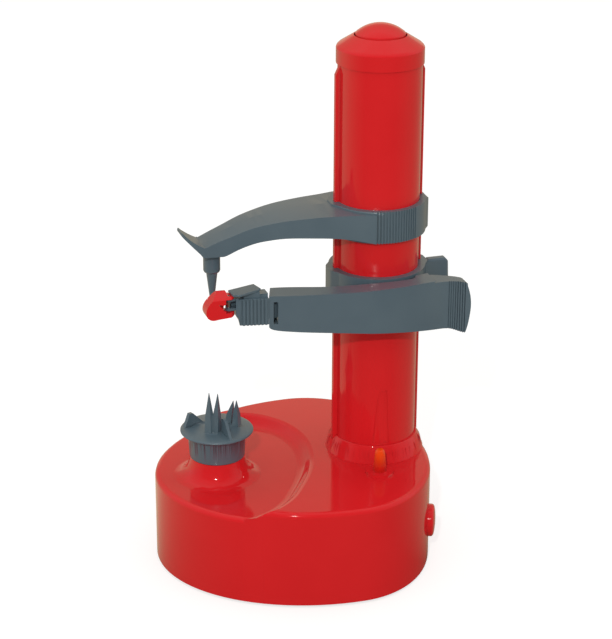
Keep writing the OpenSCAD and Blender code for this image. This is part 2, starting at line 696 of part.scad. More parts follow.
// Collar on the column, a bar to the food holder axis and a turned-up finger lip.
module upper_arm() color(grey) {
    h = collar_h;
    difference() {
        union() {
            intersection() {
                translate([0, 40, 0]) rotate([90, 0, 0]) linear_extrude(80) bar_side(0);
                translate([0, 0, arm_z - 30]) linear_extrude(80) bar_plan(0);
                bar_roof(1, 0);
                bar_roof(-1, 0);
            }
            translate([col_x, 0, arm_z]) cylinder(h = h, r = 26.5, $fn = 128);
            translate([col_x, 0, arm_z]) intersection() {
                linear_extrude(h) lug_plan(26.5);
                translate([0, 40, 0]) rotate([90, 0, 0]) linear_extrude(80)
                    polygon([[-29, 0], [29, 0], [29, h - 3.4], [28, h - 1.6], [26.2, h - 0.4],
                        [24, h], [-29, h]]);
            }
            translate([hold_x, 0, 0]) intersection() {
                translate([0, 40, arm_z]) rotate([90, 0, 0]) linear_extrude(80) lip_side();
                translate([0, 0, arm_z - 10]) linear_extrude(30) lip_plan();
            }
        }
        intersection() {
            translate([0, 40, 0]) rotate([90, 0, 0]) linear_extrude(80) bar_side(2.2);
            translate([0, 0, arm_z - 30]) linear_extrude(80) bar_plan(2.2);
            bar_roof(1, 2.2);
            bar_roof(-1, 2.2);
            difference() {
                translate([hold_x - 7, -40, arm_z - 30]) cube([col_x - 28 - hold_x + 7, 80, 80]);
                translate([top_x, 0, arm_z - 40]) cylinder(h = 80, r = 7.2);
                translate([top_x + 6.8, -0.9, arm_z - 30]) cube([col_x - top_x, 1.8, 80]);
            }
        }
        translate([top_x, 0, arm_z - 10]) cylinder(h = 9.7, r = 5.03);
        translate([top_x, 0, arm_z - 0.3]) cylinder(h = 2.3, r = 5.2);
        translate([col_x, 0, arm_z - 2]) cylinder(h = h + 4, r = bore_r, $fn = 128);
        for (s = [0, 180]) translate([col_x, 0, arm_z - 2]) rotate([0, 0, s])
            translate([20, -1.55, 0]) cube([rail_r + 0.1 - 20, 3.1, h + 4]);
        for (i = [0:14], m = [0, 1]) mirror([0, m, 0]) translate([col_x, 0, arm_z - 1])
            rotate([0, 0, -109 + i * 3.6]) translate([26, -0.45, 0]) cube([2, 0.9, h + 2]);
        translate([col_x - 5, 22, arm_z + 5]) cube([10, 2.6, 8]);
    }
}

module arm_brake_spring() color(steel) {
    translate([col_x - 4.6, 23.3, arm_z + 5.2]) cube([9.2, 0.5, 7.6]);
    translate([col_x - 4.6, 23.8, arm_z + 5.2]) cube([1.2, 0.7, 7.6]);
    translate([col_x + 3.4, 23.8, arm_z + 5.2]) cube([1.2, 0.7, 7.6]);
}

// Free-turning pin that holds the top of the food.
module top_pin() color(grey) {
    tip = -17.1 - point_l;
    translate([top_x, 0, arm_z]) rotate_extrude($fn = 48) polygon([[0, tip], [0.8, tip],
        [1.15, tip + 0.5], [3.05, -16.4], [3.2, -15.8], [4.2, -15.3], [4.65, -14.4], [4.65, -4.4],
        [4.3, -4], [3, -4], [3, 0], [2.4, 0], [2.4, 1], [3, 1], [3, 1.6], [0, 1.6]]);
}

module pin_bush() color([0.72, 0.55, 0.25]) {
    translate([top_x, 0, 0]) tube(arm_z - 3.7, 3.4, 5, 3.06);
}

module pin_clip() color(steel) {
    translate([top_x, 0, 0]) difference() {
        tube(arm_z + 0.1, 0.8, 4.8, 2.42);
        translate([0, -1.6, arm_z - 1]) cube([8, 3.2, 4]);
    }
}

// Ring that slides on the column, with its finger block and pivot lug.
module carriage() color(grey) {
    h = ring_h;
    difference() {
        union() {
            translate([col_x, 0, ring_z]) {
                cylinder(h = h, r = 27, $fn = 128);
                linear_extrude(h) lug_plan(27);
                intersection() {
                    translate([0, -0.8, 0]) rotate([90, 0, 0]) linear_extrude(5)
                        polygon([[24, 1], [41, 1], [41.5, 12], [40.6, 24.4], [39, 26.4],
                            [29, 26.4], [28.2, 25.2], [24, 23]]);
                    linear_extrude(40) polygon([[24, 0], [24, -5.4], [38.8, -5.4], [40.6, -4.6],
                        [42, -3], [42, 0]]);
                    rotate([90, 0, 90]) linear_extrude(60) polygon([[0, 0], [0, 26.4],
                        [-4.2, 26.4], [-5.4, 25.2], [-5.4, 0]]);
                }
                translate([0, 0, 3]) rotate([0, 0, -53.5]) translate([24, -3.5, 0])
                    cube([7, 7, 16]);
                translate([20, pivot_y, 3]) cylinder(h = 16, r = 4.2);
                translate([-8, 18, 3]) cube([16, 10, 18]);
            }
        }
        translate([col_x, 0, ring_z - 2]) cylinder(h = h + 6, r = bore_r, $fn = 128);
        for (s = [0, 180]) translate([col_x, 0, ring_z - 2]) rotate([0, 0, s])
            translate([20, -1.55, 0]) cube([rail_r + 0.1 - 20, 3.1, h + 8]);
        translate([pivot_x, pivot_y, ring_z]) cylinder(h = 30, r = 2.02);
        translate([col_x - 2.8, 10, ring_z + 5]) cube([5.6, 20, 12.4]);
        for (s = [-1, 1]) translate([col_x + s * 5.8, 30, ring_z + 12]) rotate([90, 0, 0])
            cylinder(h = 5, r = 1.2);
    }
}

module half_nut() color(white) {
    difference() {
        union() {
            translate([col_x - 2.7, 3, ring_z + 5.1]) cube([5.4, 26, 12.2]);
            translate([col_x - 8, 28, ring_z + 3]) cube([16, 2.6, 18]);
        }
        translate([col_x, 0, ring_z]) cylinder(h = 30, r = 4.5);
        for (s = [-1, 1]) translate([col_x + s * 5.8, 31, ring_z + 12]) rotate([90, 0, 0])
            cylinder(h = 6, r = 1.3);
    }
}

module nut_screws() color(steel) {
    for (s = [-1, 1]) translate([col_x + s * 5.8, 32, ring_z + 12]) rotate([90, 0, 0]) {
        cylinder(h = 1.4, r = 2.1);
        cylinder(h = 6.6, r = 1.15);
    }
}

module arm_pivot_pin() color(steel) {
    translate([pivot_x, pivot_y, ring_z - 2.4]) cylinder(h = 25.6, r = 2);
}

module arm_spring() color(steel) {
    translate([pivot_x, pivot_y, ring_z - 0.45]) coil(3, 0.36, 3.25, 3);
}

// Edges of the blade arm. Positions run from the column axis, heights from the arm's top.
arm_top = curve([[-71.7, -0.4], [-71.2, 0], [14, 0], [21, -1.1], [29.5, -1.9], [39.6, -3],
    [40.8, -5], [42.3, -10.5], [42.8, -16], [42.4, -21.5], [41.3, -28], [40.2, -32],
    [39.4, -32.6]], 3);
arm_low = curve([[39.4, -32.6], [36.4, -31.7], [31.1, -29.8], [22.7, -28.8], [1, -26.5],
    [-30, -23.2], [-55.5, -21.1], [-67, -19.9], [-71, -18.6], [-71.7, -17]], 3);
arm_front = curve([[-71.7, -30.9], [-55, -34.8], [-40, -37.4], [-24, -39.3], [-12, -39.8],
    [5, -38.3], [18, -35.8], [28, -33.2], [35, -33.3], [40.5, -35.2], [42.8, -35.6]], 4);
arm_back = curve([[14, -24], [12, -27.6], [4, -29], [-10, -29], [-30, -27.6], [-41.3, -25.3],
    [-51.7, -22.2], [-59.5, -20.1], [-64.5, -19.1], [-67.6, -18.7]], 3);

// Left of the column the arm stretches with the distance to the food holder.
function arm_x(u) = col_x + (u < 0 ? u * (axis_gap - 21.8) / 71.7 : u);

// Arm seen from the front, c smaller at the top and at the bottom.
module arm_side(c) {
    polygon([for (p = concat(arm_top, arm_low)) [arm_x(p[0]), blade_top + p[1]
        + (p[1] < -14 ? c : -c)]]);
}

// Arm seen from above, f thinner in front and b longer at the back.
module arm_plan(f, b) {
    polygon(concat([for (p = arm_front) [arm_x(p[0]), p[1] + f]],
        [[col_x + 42.8, -27 + b], [col_x + 39.4, -26 + b], [col_x + 34, -24 + b],
        [col_x + 28, -22.2 + b], [col_x + 22, -21.5 + b], [col_x + 14, -24 + b]],
        [for (p = arm_back) [arm_x(p[0]), p[1] + b]]));
}

// Channel-shaped arm in front of the column, with a grip at its right end.
module blade_arm() color(grey) {
    difference() {
        intersection() {
            rotate([90, 0, 0]) linear_extrude(60) arm_side(0);
            translate([0, 0, 120]) linear_extrude(60) arm_plan(0, 0);
        }
        arm_channel();
        translate([col_x, 0, 120]) cylinder(h = 60, r = 27.8, $fn = 128);
        translate([pivot_x, pivot_y, ring_z - 2.5]) cylinder(h = 25.9, r = 2.06);
        for (i = [0:7]) translate([col_x + 30.4 + i * 1.25, -40, 130])
            cube([0.55, 41 + lookup(30.4 + i * 1.25, [[28, -33.4], [35, -33.5], [40.5, -35.3]]),
                50]);
        translate([arm_x(-69.3), -40, blade_top - 16]) cube([2.4, 12, 12.6]);
    }
}

// Space inside the arm, open at the back and at the left end.
module arm_channel() {
    intersection() {
        rotate([90, 0, 0]) linear_extrude(60) arm_side(2.4);
        translate([0, 0, 120]) linear_extrude(60) difference() {
            union() {
                arm_plan(2.4, 4);
                translate([arm_x(-73), -28.3]) square([3, 14]);
            }
            translate([col_x + 37, -60]) square([20, 60]);
        }
    }
    translate([arm_x(-73), -28.3, blade_top - 15.4]) cube([4, 14, 13]);
}

// Cover that closes the back of the channel behind the blade cartridge.
module arm_back_cover() color(grey) {
    edge = curve([[-66, -19.7], [-59.5, -20.8], [-51.7, -22.9], [-41.3, -26], [-31, -28]], 3);
    intersection() {
        rotate([90, 0, 0]) linear_extrude(60) arm_side(2.4);
        translate([0, 0, 120]) linear_extrude(60) polygon(concat(
            [for (p = edge) [arm_x(p[0]), p[1]]],
            [for (p = flip(edge)) [arm_x(p[0]) - 0.2, p[1] - 1.6]]));
    }
}

// Ribbed block that plugs into the left end of the arm, with a fork for the blade head.
module blade_cartridge() color(grey) {
    z = blade_top;
    difference() {
        union() {
            translate([hold_x, 0, z]) {
                intersection() {
                    rotate([90, 0, 90]) linear_extrude(30) polygon([[-22.2, -20], [-31.8, -20],
                        [-31.8, -1.1], [-31.1, -0.2], [-30, 0.3], [-22.2, 0.3]]);
                    rotate([90, 0, 0]) linear_extrude(40) polygon([[4.6, -10.6], [7, -14.9],
                        [21.2, -15.9], [21.2, -0.9], [4.6, 0.3]]);
                    linear_extrude(60, center = true) polygon([[4.6, -32], [21.2, -32],
                        [23.4, -22.2], [4.6, -22.2]]);
                }
                translate([0, -31.25, 0]) rotate([90, 0, 0]) linear_extrude(0.55)
                    polygon([[3.3, 1.2], [4.7, 1.2], [4.7, -10.4], [3.3, -8.6]]);
                translate([-1, head_y + 2.4, -6.1]) cube([6, 1, 7.1]);
                translate([20.7, -27.4, -14]) cube([12, 4, 10]);
                translate([8, -30, -1.5]) cube([9, 7, 4.25]);
                translate([16.9, -29.6, -1.5]) cube([4.2, 6.6, 3]);
            }
            for (h = [z - 5.9, z - 0.6]) {
                translate([hold_x, head_y, h]) cylinder(h = 1.4, r = 1.9);
                translate([hold_x, head_y - 1.9, h]) cube([5, 3.8, 1.4]);
            }
        }
        for (i = [0:7]) translate([hold_x + 6.2 + i * 2.05, -33, z - 16])
            cube([0.9, 1.85, 20]);
        translate([hold_x, head_y, z - 7]) cylinder(h = 9, r = 1.02);
    }
}

// Swivelling blade frame: a rounded guard with two prongs and a window between them.
module blade_holder() color(red) {
    z = blade_top;
    difference() {
        intersection() {
            translate([hold_x, 0, z]) rotate([90, 0, 0]) linear_extrude(60)
                polygon(concat(curve([[-6.3, 4.2], [-8.3, 2.6], [-11, 0], [-12.8, -2.6],
                    [-13.4, -5.4], [-12.7, -7.7], [-11.1, -9.2], [-9, -9.7], [-6.2, -9.4],
                    [0.5, -8.9], [2, -8.7]], 3), [[4, -8.4], [4, 2.4], [-0.8, 2.4], [-1.2, 4.2],
                    [-2.2, 4.5], [-5.2, 4.6]]));
            translate([hold_x, head_y, 140]) linear_extrude(60) polygon([[-16, 4.3], [-16, -3.9],
                [0.6, -3.9], [2.4, -2], [2.9, -0.9], [2.9, 0.9], [2.4, 2], [0.6, 4.3]]);
            translate([hold_x - 20, 0, 0]) rotate([90, 0, 90]) linear_extrude(30)
                polygon([[-24, 150], [-34, 150], [-34, z + 0.4], [-32, z + 1.8], [-27, z + 4.6],
                    [-24, z + 3.9]]);
        }
        translate([hold_x, -27.6, z]) rotate([90, 0, 0]) linear_extrude(10)
            polygon([[-6.4, -1], [-3.7, -1.7], [4, 1.2], [4, -6.3], [-3.5, -4.9], [-4, -3.9]]);
        translate([hold_x - 2.4, -40, z - 6.3]) cube([8, 30, 7.5]);
        translate([hold_x - 10.7, -26, z - 6.4]) cube([7.8, 5, 6.8]);
        translate([hold_x - 6.2, -30, z - 5.6]) cube([1.6, 10, 5.4]);
        translate([hold_x, head_y, z - 8.9]) cylinder(h = 20, r = 1.06);
    }
}

module blade() color(steel) {
    translate([hold_x - 6.8, -29.4, blade_top - 6.2]) difference() {
        tube(0, 6.4, 5.2, 4.7);
        translate([-8, -9.4, -1]) cube([16, 12.8, 9]);
        translate([0.9, 0, 0.8]) cube([1, 8, 4.8]);
    }
}

module swivel_pin() color(steel) {
    translate([hold_x, head_y, blade_top - 8.6]) cylinder(h = 10.9, r = 1);
}

// Guard plate over the head, on top of the cartridge.
module swivel_plate() color(grey) {
    translate([hold_x, 0, blade_top + 2.75]) linear_extrude(1.2)
        polygon([[0.7, -25.1], [7.5, -22.8], [16.3, -19.9], [18.2, -27.6], [16.3, -29.4],
            [4.8, -34.5], [1.3, -32.9]]);
}

base_shell();
bottom_plate();
battery_door();
battery_cells();
battery_contacts();
rubber_feet();
base_screws();
power_button();
button_spring();
power_switch();
stop_pin();
stop_spring();
limit_switch();
motor();
motor_shaft();
motor_pinion();
motor_bracket();
gearbox_plate();
gearbox_cover();
gearbox_screws();
reduction_gear();
idler_gear();
gear_axles();
holder_gear();
holder_spindle();
spindle_bush();
spindle_seal();
food_holder();
screw_gear();
lead_screw();
shaft_bushes();
screw_top_bearing();
column_front();
column_back();
column_foot();
column_screws();
column_cap();
cap_disc();
upper_arm();
arm_brake_spring();
top_pin();
pin_bush();
pin_clip();
carriage();
half_nut();
nut_screws();
arm_pivot_pin();
arm_spring();
blade_arm();
arm_back_cover();
blade_cartridge();
blade_holder();
blade();
swivel_pin();
swivel_plate();
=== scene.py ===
import bmesh
import bpy
import json
import math
from mathutils import Matrix, Vector


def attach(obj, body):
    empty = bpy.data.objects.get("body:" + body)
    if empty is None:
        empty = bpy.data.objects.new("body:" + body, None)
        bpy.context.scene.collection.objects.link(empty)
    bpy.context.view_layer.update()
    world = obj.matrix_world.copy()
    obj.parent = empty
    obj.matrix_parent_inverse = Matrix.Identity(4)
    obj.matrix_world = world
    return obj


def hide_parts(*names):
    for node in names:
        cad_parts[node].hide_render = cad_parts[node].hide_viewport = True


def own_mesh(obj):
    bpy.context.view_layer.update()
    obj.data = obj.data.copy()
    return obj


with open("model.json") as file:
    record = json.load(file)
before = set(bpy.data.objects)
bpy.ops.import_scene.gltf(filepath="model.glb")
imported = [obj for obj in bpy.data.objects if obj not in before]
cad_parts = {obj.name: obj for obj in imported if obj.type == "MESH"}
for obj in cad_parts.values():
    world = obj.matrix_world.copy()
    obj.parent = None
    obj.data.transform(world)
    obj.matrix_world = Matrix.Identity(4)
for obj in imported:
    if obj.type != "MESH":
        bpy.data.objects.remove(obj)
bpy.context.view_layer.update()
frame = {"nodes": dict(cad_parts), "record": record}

scene = bpy.context.scene
nodes = frame["nodes"]

# ---------------------------------------------------------------- camera
# The camera stands in front of the blade arm, a little to the left, and looks
# down on the base at about 22 degrees.
CAMERA_PLACE = (-0.31609, -1.0129, 0.56739)
CAMERA_TURN = math.radians(-17.4)
CAMERA_TILT = math.radians(68.05)
CAMERA_ROLL = math.radians(0.168)
CAMERA_LENS = 115.77

camera_data = bpy.data.cameras.new("camera")
camera_data.sensor_width = 36.0
camera_data.lens = CAMERA_LENS
camera_data.clip_start = 0.05
camera_data.clip_end = 20.0
camera = bpy.data.objects.new("camera", camera_data)
aim = Matrix.Rotation(CAMERA_TURN, 4, "Z") @ Matrix.Rotation(CAMERA_TILT, 4, "X")
roll = Matrix.Rotation(CAMERA_ROLL, 4, "Z")
camera.matrix_world = Matrix.Translation(CAMERA_PLACE) @ aim @ roll
scene.collection.objects.link(camera)
scene.camera = camera
scene.view_settings.view_transform = "Standard"

# ---------------------------------------------------------------- surroundings
# A white room. The camera and glass see it plain white. A gloss sees it dim in
# front, lighter at the sides, and warm and lightest straight behind the peeler.
ROOM_LIGHT = 0.85
ROOM_TINT = (1.0, 0.985, 0.95)
TOWARDS_BACK = (0.299, 0.954, 0.0)
ROOM_GLOSS = (
    (0.00, (0.05, 0.05, 0.05)), (0.16, (0.06, 0.06, 0.06)), (0.29, (0.26, 0.26, 0.26)),
    (0.46, (0.40, 0.40, 0.39)), (0.67, (0.62, 0.60, 0.55)), (0.86, (0.50, 0.44, 0.34)),
    (0.947, (0.46, 0.40, 0.30)), (0.955, (0.76, 0.64, 0.46)), (1.00, (0.82, 0.70, 0.50)))


def fill_ramp(ramp, stops):
    """Gives a colour ramp its stops, each a place from 0 to 1 and a colour."""
    marks = ramp.color_ramp.elements
    for mark, (place, colour) in zip(marks, (stops[0], stops[-1])):
        mark.position, mark.color = place, (*colour, 1)
    for place, colour in stops[1:-1]:
        marks.new(place).color = (*colour, 1)


def plain_glow(tree, kind, strength=1.0, colour=(1, 1, 1)):
    """Background or Emission shader of one strength and one colour."""
    shader = tree.nodes.new(kind)
    shader.inputs["Color"].default_value = (*colour, 1)
    shader.inputs["Strength"].default_value = strength
    return shader


def split_by_ray(tree, ray, others, theirs):
    """Shader that looks like theirs to rays of one kind, and like others to the rest."""
    mix = tree.nodes.new("ShaderNodeMixShader")
    tree.links.new(ray, mix.inputs[0])
    tree.links.new(others.outputs[0], mix.inputs[1])
    tree.links.new(theirs.outputs[0], mix.inputs[2])
    return mix


world = bpy.data.worlds.new("surroundings")
world.use_nodes = True
scene.world = world
tree = world.node_tree
tree.nodes.clear()
path = tree.nodes.new("ShaderNodeLightPath")
heading = tree.nodes.new("ShaderNodeTexCoord")
towards_back = tree.nodes.new("ShaderNodeVectorMath")
towards_back.operation = "DOT_PRODUCT"
towards_back.inputs[1].default_value = TOWARDS_BACK
tree.links.new(heading.outputs["Generated"], towards_back.inputs[0])
place_on_ramp = tree.nodes.new("ShaderNodeMapRange")
place_on_ramp.inputs["From Min"].default_value = -1.0
tree.links.new(towards_back.outputs["Value"], place_on_ramp.inputs["Value"])
room_ramp = tree.nodes.new("ShaderNodeValToRGB")
fill_ramp(room_ramp, ROOM_GLOSS)
tree.links.new(place_on_ramp.outputs["Result"], room_ramp.inputs["Fac"])
lit_room = plain_glow(tree, "ShaderNodeBackground", ROOM_LIGHT, ROOM_TINT)
gloss_room = plain_glow(tree, "ShaderNodeBackground")
tree.links.new(room_ramp.outputs["Color"], gloss_room.inputs["Color"])
white_room = plain_glow(tree, "ShaderNodeBackground")
straight = tree.nodes.new("ShaderNodeMath")
straight.operation = "MAXIMUM"
tree.links.new(path.outputs["Is Camera Ray"], straight.inputs[0])
tree.links.new(path.outputs["Is Transmission Ray"], straight.inputs[1])
room = split_by_ray(tree, path.outputs["Is Glossy Ray"], lit_room, gloss_room)
room = split_by_ray(tree, straight.outputs[0], room, white_room)
tree.links.new(room.outputs[0], tree.nodes.new("ShaderNodeOutputWorld").inputs[0])

# ---------------------------------------------------------------- table top
# A white laminate top, 12 m square, which only stands for the floor. Its paint
# is pale grey and glows white for the camera, and glass sees it white. A gloss
# sees it dim and warm, by the direction from the column, darkest in front.
TOP_HALF = 6.0
TOP_PAINT = (0.45, 0.45, 0.45, 1)
TOP_GLOW = 0.64
TOP_GLOSS_TINT = (1.15, 1.0, 0.68)
TOP_GLOSS = (
    (-180, 0.37), (-168, 0.25), (-149, 0.12), (-66, 0.12), (-47, 0.20), (-27, 0.28), (-4, 0.32),
    (29, 0.40), (90, 0.45), (121, 0.55), (149, 0.65), (172, 0.45), (180, 0.37))
COLUMN_PLACE = (0.0426, 0.0, 0.0)

top_paint = bpy.data.materials.new("table_top")
top_paint.use_nodes = True
tree = top_paint.node_tree
tree.nodes.clear()
path = tree.nodes.new("ShaderNodeLightPath")
place = tree.nodes.new("ShaderNodeTexCoord")
from_column = tree.nodes.new("ShaderNodeVectorMath")
from_column.operation = "SUBTRACT"
from_column.inputs[1].default_value = COLUMN_PLACE
tree.links.new(place.outputs["Object"], from_column.inputs[0])
direction = tree.nodes.new("ShaderNodeTexGradient")
direction.gradient_type = "RADIAL"
tree.links.new(from_column.outputs[0], direction.inputs["Vector"])
gloss_ramp = tree.nodes.new("ShaderNodeValToRGB")
fill_ramp(gloss_ramp, [((angle + 180) / 360, [level * tint for tint in TOP_GLOSS_TINT])
                       for angle, level in TOP_GLOSS])
tree.links.new(direction.outputs["Fac"], gloss_ramp.inputs["Fac"])
top_diffuse = tree.nodes.new("ShaderNodeBsdfDiffuse")
top_diffuse.inputs["Color"].default_value = TOP_PAINT
top_glow = split_by_ray(tree, path.outputs["Is Camera Ray"],
                        plain_glow(tree, "ShaderNodeEmission", 0.0),
                        plain_glow(tree, "ShaderNodeEmission", TOP_GLOW))
painted = tree.nodes.new("ShaderNodeAddShader")
tree.links.new(top_diffuse.outputs[0], painted.inputs[0])
tree.links.new(top_glow.outputs[0], painted.inputs[1])
in_gloss = plain_glow(tree, "ShaderNodeEmission")
tree.links.new(gloss_ramp.outputs["Color"], in_gloss.inputs["Color"])
in_glass = plain_glow(tree, "ShaderNodeEmission")
top = split_by_ray(tree, path.outputs["Is Glossy Ray"], painted, in_gloss)
top = split_by_ray(tree, path.outputs["Is Transmission Ray"], top, in_glass)
tree.links.new(top.outputs[0], tree.nodes.new("ShaderNodeOutputMaterial").inputs[0])
top_mesh = bpy.data.meshes.new("table_top")
bm = bmesh.new()
bmesh.ops.create_grid(bm, x_segments=1, y_segments=1, size=TOP_HALF)
bm.to_mesh(top_mesh)
bm.free()
top_mesh.materials.append(top_paint)
table_top = bpy.data.objects.new("table_top", top_mesh)
scene.collection.objects.link(table_top)

# ---------------------------------------------------------------- lamp
# One small warm lamp, above the camera and left of it, faces the middle of the
# peeler and draws the highlights. The room gives the soft light all round.
LAMP_PLACE = Vector((-0.50, -1.18, 0.90))
LAMP_AIM = Vector((0, 0, 0.14))
LAMP_SIZE = 0.035
LAMP_WATTS = 8.0
LAMP_COLOUR = (1.0, 0.96, 0.90)

lamp_data = bpy.data.lights.new("small_lamp", "AREA")
lamp_data.shape = "SQUARE"
lamp_data.size = LAMP_SIZE
lamp_data.energy = LAMP_WATTS
lamp_data.color = LAMP_COLOUR
small_lamp = bpy.data.objects.new("small_lamp", lamp_data)
small_lamp.location = LAMP_PLACE
small_lamp.rotation_euler = (LAMP_AIM - LAMP_PLACE).to_track_quat("-Z", "Y").to_euler()
scene.collection.objects.link(small_lamp)

# ---------------------------------------------------------------- base housing
# The oval housing with its deck, low dish, hub and stop pin ring is one
# injection moulding in glossy red plastic. It carries everything else.
GRAIN_DETAIL = 3.0
PATCH_DETAIL = 4.0
PATCH_LOW, PATCH_HIGH = 0.32, 0.68


def moulded_grain():
    """Surface of a moulding: fine grain as Height, slow patches as Mask."""
    group = bpy.data.node_groups.new("moulded_grain", "ShaderNodeTree")
    for name, way in (("Grain Scale", "INPUT"), ("Patch Scale", "INPUT"),
                      ("Height", "OUTPUT"), ("Mask", "OUTPUT")):
        group.interface.new_socket(name, in_out=way, socket_type="NodeSocketFloat")
    source = group.nodes.new("NodeGroupInput")
    sink = group.nodes.new("NodeGroupOutput")
    place = group.nodes.new("ShaderNodeTexCoord")
    for scale, detail, result in (("Grain Scale", GRAIN_DETAIL, "Height"),
                                  ("Patch Scale", PATCH_DETAIL, "Mask")):
        noise = group.nodes.new("ShaderNodeTexNoise")
        noise.inputs["Detail"].default_value = detail
        group.links.new(place.outputs["Object"], noise.inputs["Vector"])
        group.links.new(source.outputs[scale], noise.inputs["Scale"])
        group.links.new(noise.outputs["Fac"], sink.inputs[result])
    return group


GRAIN = moulded_grain()


def finish(name, colour, other, rough, rougher, grain, depth,
           patch=28, metal=0.0, gloss=0.5, clear=0.0):
    """A surface that wanders between two colours and two roughnesses, with a grain."""
    made = bpy.data.materials.new(name)
    made.use_nodes = True
    tree = made.node_tree
    shader = tree.nodes["Principled BSDF"]
    surface = tree.nodes.new("ShaderNodeGroup")
    surface.node_tree = GRAIN
    surface.inputs["Grain Scale"].default_value = grain
    surface.inputs["Patch Scale"].default_value = patch
    spread = tree.nodes.new("ShaderNodeMapRange")
    spread.inputs["From Min"].default_value = PATCH_LOW
    spread.inputs["From Max"].default_value = PATCH_HIGH
    tree.links.new(surface.outputs["Mask"], spread.inputs["Value"])
    tint = tree.nodes.new("ShaderNodeMix")
    tint.name = "tint"
    tint.data_type = "RGBA"
    tint.inputs["A"].default_value = (*colour, 1)
    tint.inputs["B"].default_value = (*other, 1)
    tree.links.new(spread.outputs["Result"], tint.inputs["Factor"])
    tree.links.new(tint.outputs["Result"], shader.inputs["Base Color"])
    polish = tree.nodes.new("ShaderNodeMapRange")
    polish.inputs["To Min"].default_value = rough
    polish.inputs["To Max"].default_value = rougher
    tree.links.new(spread.outputs["Result"], polish.inputs["Value"])
    tree.links.new(polish.outputs["Result"], shader.inputs["Roughness"])
    bump = tree.nodes.new("ShaderNodeBump")
    bump.inputs["Distance"].default_value = depth
    tree.links.new(surface.outputs["Height"], bump.inputs["Height"])
    tree.links.new(bump.outputs["Normal"], shader.inputs["Normal"])
    shader.inputs["Metallic"].default_value = metal
    shader.inputs["Specular IOR Level"].default_value = gloss
    shader.inputs["Transmission Weight"].default_value = clear
    return made


red_gloss = finish("red_gloss", (0.615, 0.0125, 0.0165), (0.640, 0.0135, 0.0175),
                   0.06, 0.11, 160, 0.000012)


def body_of(node):
    """The body that a CAD node belongs to."""
    bodies = frame["record"]["behaviour"]["bodies"]
    return next(body for body, names in bodies.items() if node in names)


# A face is a wall when its normal leans out at least WALL_LEAN, and it is round
# when it faces the axis within 9 degrees. Points nearer than AXIS_GAP are left.
WALL_LEAN = 0.08
AXIS_GAP = 0.001
ROUND_WITHIN = math.cos(math.radians(9))


def true_round(mesh, ready, axis, reach):
    """Turns the normals of round walls near an upright axis straight away from it or to it."""
    for face in mesh.polygons:
        side = Vector((face.normal.x, face.normal.y))
        if side.length < WALL_LEAN:
            continue
        for index in face.loop_indices:
            place = mesh.vertices[mesh.loops[index].vertex_index].co
            out = Vector((place.x - axis[0], place.y - axis[1]))
            if not AXIS_GAP < out.length < reach:
                continue
            out.normalize()
            lean = out.dot(side.normalized())
            if abs(lean) > ROUND_WITHIN:
                level = math.copysign(math.sqrt(max(1 - ready[index].z ** 2, 0)), lean)
                ready[index] = Vector((out.x * level, out.y * level, ready[index].z))


MERGE_WITHIN = 2e-6
FLAT_WITHIN = math.radians(0.5)


def moulding(node, name, paint, edge=0.0, corner=38.0, smooth=40.0, steps=2,
             form=None, axis=None, reach=1.0):
    """Moulded piece on a CAD node: its shape, formed, with rounded edges and smooth curves."""
    bm = bmesh.new()
    bm.from_mesh(nodes[node].data)
    bmesh.ops.remove_doubles(bm, verts=bm.verts, dist=MERGE_WITHIN)
    bmesh.ops.dissolve_limit(bm, angle_limit=FLAT_WITHIN, verts=bm.verts, edges=bm.edges)
    if form:
        form(bm)
    if edge > 0:
        sharp = [rim for rim in bm.edges if len(rim.link_faces) == 2 and rim.is_convex
                 and rim.calc_face_angle() > math.radians(corner)]
        bmesh.ops.bevel(bm, geom=sharp, offset=edge, offset_type="OFFSET", segments=steps,
                        profile=0.5, affect="EDGES", clamp_overlap=True, material=-1)
    for face in bm.faces:
        face.smooth = True
        face.material_index = 0
    mesh = bpy.data.meshes.new(name)
    bm.to_mesh(mesh)
    bm.free()
    mesh.set_sharp_from_angle(angle=math.radians(smooth))
    mesh.materials.append(paint)
    piece = bpy.data.objects.new(name, mesh)
    scene.collection.objects.link(piece)
    shading = piece.modifiers.new("shading", "WEIGHTED_NORMAL")
    shading.mode = "FACE_AREA_WITH_ANGLE"
    shading.weight = 80
    shading.keep_sharp = True
    if axis:
        shaded = piece.evaluated_get(bpy.context.evaluated_depsgraph_get()).data
        ready = [normal.vector.copy() for normal in shaded.corner_normals]
        true_round(mesh, ready, axis, reach)
        piece.modifiers.remove(shading)
        mesh.normals_split_custom_set([tuple(normal) for normal in ready])
    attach(piece, body_of(node))
    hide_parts(node)
    return piece


HOLDER_AXIS = (-0.0509, 0.0)
HUB_REACH = 0.03
DISH_MIDDLE = (-0.0574, 0.0)
STEP_LOW = 0.044
STEP_RADII = (0.0585, 0.0725)
DISH_DRIFT = (
    (-100, 0.0), (-84, 0.0), (-72, -0.0012), (-56, -0.0048), (-40, -0.0086), (-22, -0.0090),
    (0, -0.0058), (20, 0.0002), (38, 0.0052), (52, 0.0066), (62, 0.0046), (74, 0.0), (90, 0.0))


def dish_drift_at(angle):
    """How far the dish's step moves outwards at an angle, smoothly through DISH_DRIFT."""
    spans = zip(DISH_DRIFT, DISH_DRIFT[1:], DISH_DRIFT[2:], DISH_DRIFT[3:])
    for before, start, end, after in spans:
        if start[0] <= angle < end[0]:
            width = end[0] - start[0]
            rise = (end[1] - before[1]) / (end[0] - before[0]) * width
            fall = (after[1] - start[1]) / (after[0] - start[0]) * width
            t = (angle - start[0]) / width
            return (start[1] * (1 + 2 * t) * (1 - t) ** 2 + rise * t * (1 - t) ** 2
                    + end[1] * t * t * (3 - 2 * t) - fall * t * t * (1 - t))
    return 0.0


